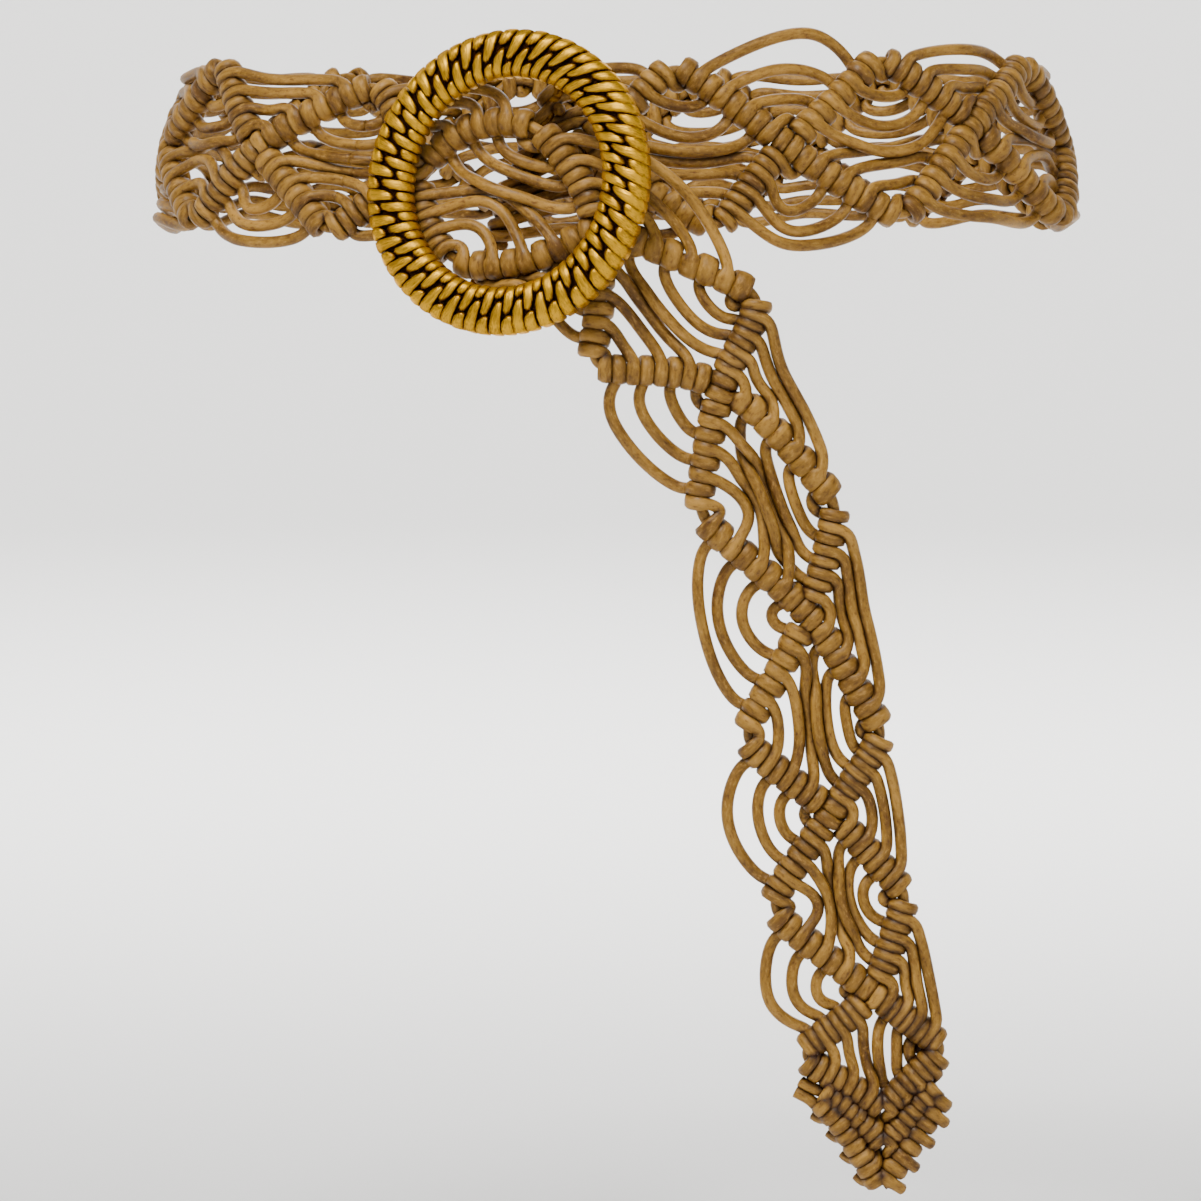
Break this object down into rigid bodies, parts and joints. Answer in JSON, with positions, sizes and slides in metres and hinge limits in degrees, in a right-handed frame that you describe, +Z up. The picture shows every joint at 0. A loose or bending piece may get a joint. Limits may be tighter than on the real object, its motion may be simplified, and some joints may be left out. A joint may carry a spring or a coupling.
{
  "type": "knotted cord belt with ring buckle",
  "caption": "Camel brown knotted cord belt in an open diamond pattern, slid through a round golden cane-look ring, its free end hanging in front.",
  "frame": {"origin": "centre of the waist loop, at the strap's mid height", "axes": "+Z up along the wearer's body, -Y the wearer's front where the ring sits, +X to the right as seen from the front"},
  "size_m": [0.272, 0.2131, 0.3228],
  "materials": {
    "cord": "satin",
    "gilt": "antiqued"
  },
  "bodies": {
    "root": {"buckle_ring": "gilt", "strap_fixed_end": "cord", "waist_strap_1": "cord", "waist_strap_2": "cord", "waist_strap_3": "cord", "waist_strap_4": "cord", "waist_strap_5": "cord", "waist_strap_6": "cord", "waist_strap_7": "cord", "waist_strap_8": "cord", "waist_strap_9": "cord", "waist_strap_10": "cord", "ring_strap_1": "cord", "ring_strap_2": "cord", "tail_strap_1": "cord", "tail_strap_2": "cord", "tail_strap_3": "cord", "tail_strap_4": "cord", "tail_tip": "cord"}
  },
  "joints": []
}
